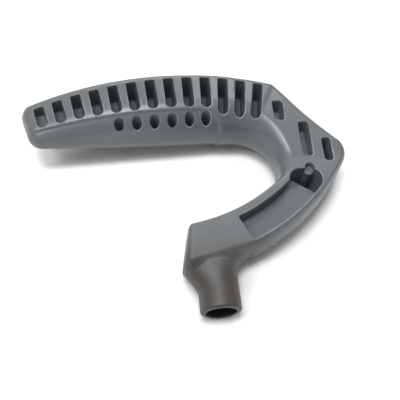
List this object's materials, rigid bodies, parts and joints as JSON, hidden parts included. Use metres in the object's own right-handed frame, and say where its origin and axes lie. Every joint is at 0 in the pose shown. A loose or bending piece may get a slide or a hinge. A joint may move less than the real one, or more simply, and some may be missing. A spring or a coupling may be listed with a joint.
{
  "type": "recoil starter handle",
  "caption": "Hooked pull handle moulded in one piece, with a slotted grip, a curved arm with a rope pocket and a round stem whose bore leads the starter rope in.",
  "frame": {"origin": "centre of the bore's mouth, on the stem's lower face and in the parting plane", "axes": "-Y out of the bore, where the rope leaves; +Y towards the palm side of the grip; -X towards the grip's free tip; +Z out of the face with the rope pocket, and Z = 0 is the parting plane"},
  "size_m": [0.1266, 0.0956, 0.0274],
  "materials": {
    "handle": "satin moulded plastic"
  },
  "bodies": {
    "root": {"handle": "handle"}
  },
  "joints": []
}
